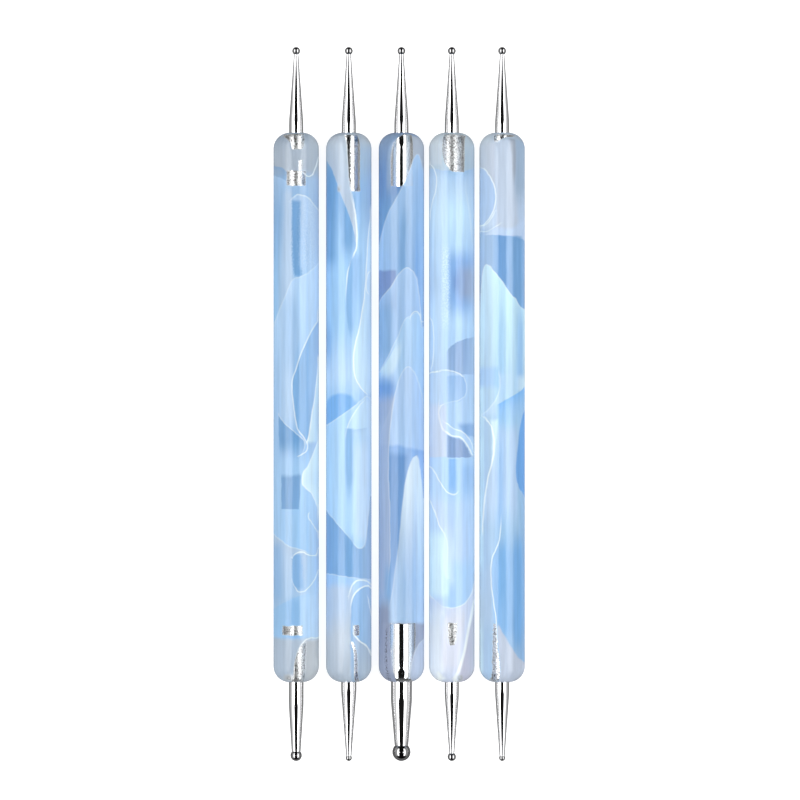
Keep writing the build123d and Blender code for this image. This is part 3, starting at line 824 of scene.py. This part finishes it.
def marble_5():
    m = Marble(5, [
        (48, tone(170, 188, 208)), (32, tone(182, 206, 236)), (30, tone(126, 168, 216)),
        (24, tone(122, 168, 220)), (18, tone(168, 214, 252)), (8, tone(160, 208, 252)),
        (2, tone(176, 214, 252)), (-4, tone(174, 216, 250)), (-18, tone(172, 212, 248)),
        (-26, tone(170, 208, 246)), (-36, tone(158, 198, 234)), (-42, tone(160, 186, 212)),
        (-48, tone(168, 188, 208)),
    ])
    m.open([(-1.7, 48.6), (-1.6, 47), (-1.2, 46.4)], [(2.0, 48.6), (1.2, 47.9), (0.2, 47.7), (-0.5, 47.0),
           (-0.8, 46.4)], 48.8, 46.5)
    m.leaf(-4.4, -1.3, 46.6, 37, tone(172, 186, 210), 0.8, soft=(0.2, 0.3), ends=(1.0, 1.5))
    m.sheet([(-3.9, 42.1), (-2.9, 41.4), (-2.0, 39.9), (-1.4, 38.2), (-1.2, 36.8), (-1.4, 35.2),
            (-1.9, 33.8), (-2.9, 32.4), (-3.9, 31.8)], -1, tone(152, 188, 234), 0.9, rim=0.65, along=True,
            ends=(42, 31.8), end_soft=0.4)
    m.leaf([(-1.0, 47), (-1.2, 42), (-1.0, 37), (-1.5, 31)], [(2.0, 47), (2.6, 43), (2.5, 36), (3.2, 31)],
           47, 30.3, tone(186, 202, 224), 0.85, soft=(0.3, 0.5), ends=(0.3, 0.5))
    m.leaf(2.1, 4.5, 47.5, 37, tone(156, 180, 208), 0.9, soft=(0.5, 0.2), ends=(0.8, 2.5))
    # A dark grey stripe down the right of the upper end: a painted shadow.
    m.leaf([(1.1, 47.5), (1.6, 44), (1.7, 40)], [(1.9, 47.5), (2.3, 44), (2.2, 40)], 47.4, 40,
           tone(150, 160, 176), 0.7, soft=(0.3, 0.2), ends=(0.3, 2))
    m.line([(-3.9, 31.9), (-2.8, 32.1), (-2.0, 33.0), (-1.3, 34.4)], 0.5, ends=(-5, -1.2), end_soft=0.4)
    m.line([(-3.9, 30.9), (-2.6, 30.9), (-1.2, 31.6), (-0.2, 32.3)], 0.5, ends=(-5, -0.4), end_soft=0.6)
    m.sheet([(-4, 29), (-0.6, 31.5), (0.8, 31.2), (2.6, 32.0), (3.9, 33.5)], -1, tone(186, 210, 242), 0.9,
            soft=0.5)
    m.sheet([(-3.9, 30.3), (-0.3, 30.0), (2.4, 29.8), (4, 29.2)], -1, tone(136, 176, 222), 0.95, soft=0.12)
    m.leaf(-0.9, 0.7, 30, 20, tone(110, 154, 208), 0.8, soft=(0.3, 0.3), ends=(0.2, 1))
    m.leaf(1.6, 3.4, 30, 17, DEEP, 0.7, soft=(0.4, 0.4), ends=(0.2, 1))
    m.sheet([(-3.95, 16), (-3.7, 20), (-3.4, 23.8), (-2.9, 24.9), (-2.4, 24.8), (-1.7, 24.0),
            (-0.6, 22.6), (0.8, 20.7), (2.2, 18.9), (3.2, 17.6), (3.9, 17.2)], -1, tone(196, 234, 254),
            0.95, fade=14, rim=0.35, soft=0.1)
    m.leaf(2.4, 3.6, 17, 3, tone(138, 186, 242), 0.6, soft=(0.6, 0.3), ends=(4, 1))
    m.leaf(-0.9, 0.3, 17, 2, tone(142, 192, 244), 0.35, soft=(0.5, 0.5), ends=(4, 1))
    m.leaf(-4.4, -0.7, 7.0, 3.6, tone(146, 192, 244), 0.75, soft=(0.2, 0.15), ends=(0.8, 0.8))
    m.sheet([(-0.7, 6.3), (-0.45, 4.3), (-1.0, 1.9), (-2.2, 0.0), (-3.7, -1.3)], 1, tone(196, 222, 254),
            0.5, fade=1.2, rim=0.3, along=True, ends=(6, -1.3))
    m.leaf(2.6, 4.5, 5.4, 3.0, ICE, 0.6, soft=(0.6, 0.3), ends=(0.8, 0.5))
    m.sheet([(-1.5, 0.2), (-0.4, 0.8), (0.9, 1.5), (2.4, 2.3), (3.95, 3.6)], -1, tone(124, 182, 246),
            0.85, fade=2.2, ends=(-0.9, 5), end_soft=0.5)
    m.leaf([(-1.2, -3), (-1.6, -7), (-2.4, -12), (-3.2, -17), (-3.4, -21)], 2.6, -3.5, -19,
           tone(178, 206, 242), 0.75, soft=(0.2, 0.4), ends=(1.5, 3))
    m.leaf(-1.0, 0.1, -6, -21, tone(138, 184, 238), 0.45, soft=(0.5, 0.4), ends=(4, 2))
    m.leaf([(-2.6, -1.9), (-1.9, -4), (-1.9, -7)], [(-0.9, -1.9), (-1.0, -4), (-1.4, -8)], -2.2, -9, ICE,
           0.7, soft=(0.15, 0.3), ends=(0.4, 2.5))
    m.line([(-3.6, -1.5), (-2.4, -2.7), (-1.7, -4.4), (-1.5, -6.8), (-1.85, -9.4), (-2.6, -12.6),
           (-3.1, -16.1), (-3.5, -21.5)], 0.85, width=0.24, along=True, ends=(-1.6, -22), end_soft=0.8)
    m.leaf([(4, -0.3), (3.2, -2.5), (2.7, -6), (2.3, -12), (2.6, -13.6), (3.4, -15), (4, -16)], 4.5, -0.3,
           -16, tone(112, 166, 232), 0.9, soft=(0.2, 0.2), rims=(0.15, 0))
    m.leaf([(-0.4, -19), (-0.8, -23), (-1.8, -27), (-1.9, -32), (-1.2, -38)], 4.5, -24, -40,
           tone(134, 180, 230), 0.85, soft=(0.15, 0.2), ends=(3, 2))
    m.leaf(-0.7, 0.5, -24, -34, tone(122, 172, 224), 0.7, soft=(0.4, 0.3), ends=(2, 3))
    m.leaf(1.9, 3.3, -23, -42, tone(118, 172, 230), 0.7, soft=(0.4, 0.3), ends=(3, 2))
    m.leaf(-4.4, -2.0, -28, -38, tone(158, 190, 228), 0.7, soft=(0.2, 0.3), ends=(2, 2))
    m.line([(-0.2, -18.5), (-0.45, -22), (-1.3, -25), (-1.95, -27), (-2.05, -29.9), (-1.6, -33.7),
           (-1.1, -38), (-0.9, -41)], 0.7, along=True, ends=(-20, -41), end_soft=2)
    m.leaf([(-0.9, -38), (-0.7, -42), (-0.3, -47)], [(-0.7, -38), (0.6, -40.3), (2.2, -43), (4.2, -45)],
           -38, -47.2, tone(192, 202, 220), 0.85, soft=(0.1, 0.25), ends=(0.5, 0.3))
    m.open([(-1.6, -38), (-1.75, -42), (-1.8, -45), (-1.5, -48)], [(-1.15, -38), (-0.95, -41),
           (-0.6, -45), (-0.2, -48)], -37.8, -49, grain=0.3)
    m.open(-0.8, 1.8, -47.2, -49)
    m.painted_side_light([(-4, 0.25), (-2.2, 0.18), (-1, 0.0), (0.3, 0.02), (1.5, -0.05), (2.3, -0.12), (3.2, -0.08),
           (4, 0.1)])
    return m.finish()


MARBLES = {1: marble_1, 2: marble_2, 3: marble_3, 4: marble_4, 5: marble_5}


def bore_face(name):
    """The wall of a bore, where the glue wets the acrylic and nothing bends the light."""
    n = Nodes(name)
    clear = n.new("ShaderNodeBsdfTransparent")
    n.plug(clear.outputs[0], n.out.inputs["Surface"])
    return n.material


def glue_skin(name, grit, roughness, cover=1.0):
    """Clear cured adhesive with fine bubbles, which glitter where they lie on the steel."""
    n = Nodes(name)
    coords = n.new("ShaderNodeTexCoord").outputs["Object"]
    grain = n.noise(coords, 4200.0, detail=3.0, roughness=0.6)
    patches = n.noise(coords, 1100.0, detail=3.0)
    bubbles = n.new("ShaderNodeBsdfPrincipled")
    silver = n.mix(n.ramp(grain, 0.38, 0.55), (0.30, 0.285, 0.28, 1), (0.90, 0.89, 0.88, 1))
    n.plug(silver, bubbles.inputs["Base Color"])
    bubbles.inputs["Metallic"].default_value = 1.0
    bubbles.inputs["Roughness"].default_value = roughness
    bump = n.new("ShaderNodeBump")
    bump.inputs["Strength"].default_value = 1.0
    bump.inputs["Distance"].default_value = grit * MM
    n.plug(grain, bump.inputs["Height"])
    n.plug(bump.outputs[0], bubbles.inputs["Normal"])
    clear = n.new("ShaderNodeBsdfTransparent")
    mixed = n.new("ShaderNodeMixShader")
    bare = 0.75 - cover * 0.6
    n.plug(n.ramp(patches, bare, bare + 0.05), mixed.inputs[0])
    n.plug(clear.outputs[0], mixed.inputs[1])
    n.plug(bubbles.outputs[0], mixed.inputs[2])
    n.plug(mixed.outputs[0], n.out.inputs["Surface"])
    return n.material


# ---------------------------------------------------------------- the studio

def light_sky():
    """Two long soft lights, left and right of a dark gap overhead that the camera looks down through."""
    gap_at_level = 15.5
    widest_tilt = 9.0
    widening_matt, widening_mirror = 1.1, 1.9
    core_strength, tail_strength, everywhere = 5.0, 0.8, 0.01
    world = bpy.data.worlds.new("studio")
    bpy.context.scene.world = world
    n = Nodes("studio", world)
    direction = n.new("ShaderNodeTexCoord").outputs["Generated"]
    axes = n.new("ShaderNodeSeparateXYZ")
    n.plug(direction, axes.inputs[0])
    x, y, z = axes.outputs
    off = n.math("ABSOLUTE", n.math("DEGREES", n.math("ARCTAN2", x, z)))
    along = n.math("DEGREES", n.math("ARCSINE", n.math("ABSOLUTE", y)))
    path = n.new("ShaderNodeLightPath")
    widening = n.ramp(path.outputs["Is Glossy Ray"], 0.0, 1.0, widening_matt, widening_mirror)
    gap = n.math("MULTIPLY_ADD", n.math("MINIMUM", along, widest_tilt), widening, gap_at_level)
    inside = n.ramp(n.math("SUBTRACT", off, gap), -0.8, 0.8)
    core = n.ramp(off, 50.0, 62.0, core_strength, 0.0)
    tail = n.ramp(off, 88.0, 100.0, tail_strength, 0.0)
    reach = n.ramp(along, 38.0, 46.0, 1.0, 0.0)
    level = n.math("MULTIPLY", n.math("MAXIMUM", core, tail), inside)
    lit = n.math("MULTIPLY_ADD", level, reach, everywhere)
    background = n.new("ShaderNodeBackground")
    n.plug(lit, background.inputs["Strength"])
    n.plug(background.outputs[0], n.out.inputs["Surface"])


def lay_floor():
    """A pale table that glows, as a light table does, and that looks greyer in a mirror."""
    mesh = bpy.data.meshes.new("table_top")
    half = 0.6
    corners = [(-half, -half, 0), (half, -half, 0), (half, half, 0), (-half, half, 0)]
    mesh.from_pydata(corners, [], [(0, 1, 2, 3)])
    table = bpy.data.objects.new("table_top", mesh)
    bpy.context.scene.collection.objects.link(table)
    n = Nodes("table_top")
    path = n.new("ShaderNodeLightPath")
    glow = n.new("ShaderNodeEmission")
    n.plug(n.ramp(path.outputs["Is Glossy Ray"], 0.0, 1.0, 0.85, 0.22), glow.inputs["Strength"])
    matt = n.new("ShaderNodeBsdfDiffuse")
    n.plug(n.ramp(path.outputs["Is Glossy Ray"], 0.0, 1.0, 0.45, 0.05), matt.inputs["Color"])
    both = n.new("ShaderNodeAddShader")
    n.plug(glow.outputs[0], both.inputs[0])
    n.plug(matt.outputs[0], both.inputs[1])
    n.plug(both.outputs[0], n.out.inputs["Surface"])
    table.data.materials.append(n.material)


def place_camera():
    """Straight above the set, with a long lens and the pens' upper tips at the top."""
    lens, sensor = 180.0, 36.0
    frame_width = 140.6 * MM
    low, high = cad_bounds
    data = bpy.data.cameras.new("camera")
    data.lens = lens
    data.sensor_width = sensor
    data.clip_start = 0.01
    camera = bpy.data.objects.new("camera", data)
    bpy.context.scene.collection.objects.link(camera)
    camera.location = (0.15 * MM, 0.7 * MM, (low[2] + high[2]) / 2 + frame_width * lens / sensor)
    bpy.context.scene.camera = camera
    bpy.context.scene.view_settings.view_transform = "Standard"


light_sky()
lay_floor()
place_camera()

steel = polished_steel("shank_steel_polished", 0.93)
# The balls take the shanks' polished steel at a far darker shade: painted shade, which darkens the ring the
# balls reflect.
darkened_ball_steel = polished_steel("ball_steel_darkened", 0.38)
wetted = bore_face("wetted_bore")
GLUE = {1: (0.045, 0.32), 2: (0.03, 0.14), 3: (0.02, 0.1, 0.0), 4: (0.035, 0.45), 5: (0.045, 0.25)}

for pen in PENS:
    body = f"pen_{pen}"
    rod = make_rod(pen)
    rod.data.materials.append(MARBLES[pen]())
    rod.data.materials.append(wetted)
    stand_in(rod, f"pen_{pen}_handle", body)
    skin = glue_skin(f"bond_{pen}", *GLUE[pen])
    for end in ENDS:
        stem = make_shank(pen, end)
        stem.data.materials.append(steel)
        stand_in(stem, f"pen_{pen}_{end}_shank", body)
        bead = make_ball(pen, end)
        bead.data.materials.append(darkened_ball_steel)
        stand_in(bead, f"pen_{pen}_{end}_ball", body)
        bond = make_glue(pen, end)
        bond.data.materials.append(skin)
        stand_in(bond, f"pen_{pen}_{end}_glue", body)
